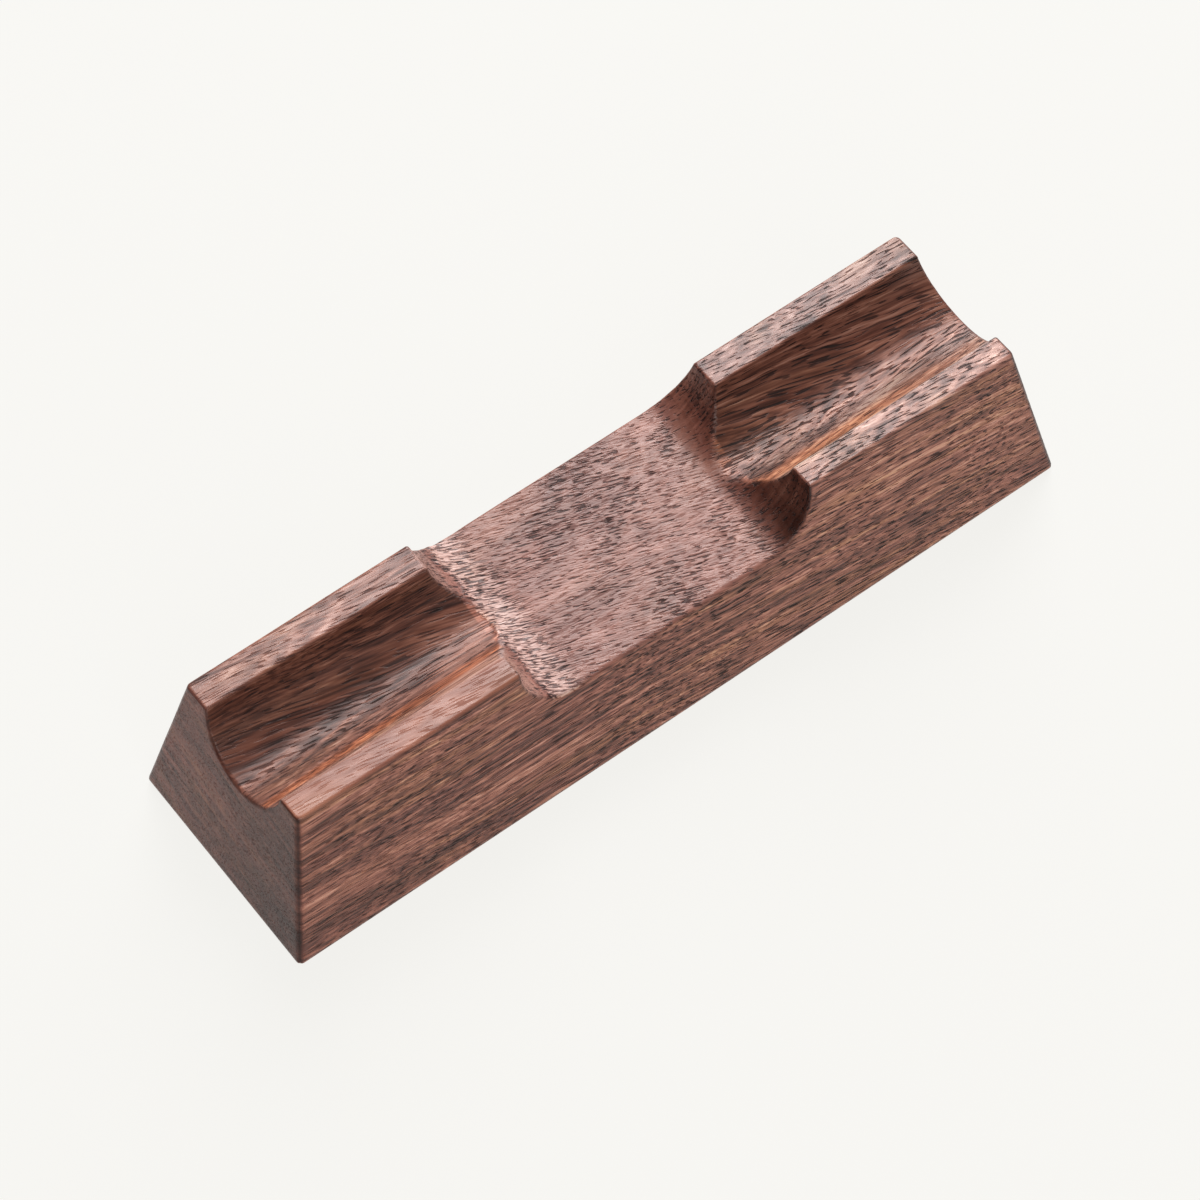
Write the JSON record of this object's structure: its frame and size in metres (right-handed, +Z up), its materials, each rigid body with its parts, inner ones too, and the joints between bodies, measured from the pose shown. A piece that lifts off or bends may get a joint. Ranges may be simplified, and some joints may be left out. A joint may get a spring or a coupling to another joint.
{
  "type": "phone stand",
  "caption": "Low solid walnut phone stand with sloping sides, a half-round groove along its top and a wide recess across the middle for cable and fingers.",
  "frame": {"origin": "bottom centre of the stand, on the plane that the foot pads stand on", "axes": "+X along the stand, -Y to the user in front, +Z up"},
  "size_m": [0.15, 0.0414, 0.0309],
  "materials": {
    "walnut": "sanded and lightly oiled, satin to matt, open pores",
    "silicone": "matt, fine moulded grain",
    "adhesive": "matt acrylic film"
  },
  "bodies": {
    "root": {"walnut_block": "walnut", "foot_pad_front_left": "silicone", "foot_pad_front_right": "silicone", "foot_pad_back_left": "silicone", "foot_pad_back_right": "silicone", "foot_adhesive_front_left": "adhesive", "foot_adhesive_front_right": "adhesive", "foot_adhesive_back_left": "adhesive", "foot_adhesive_back_right": "adhesive"}
  },
  "joints": []
}
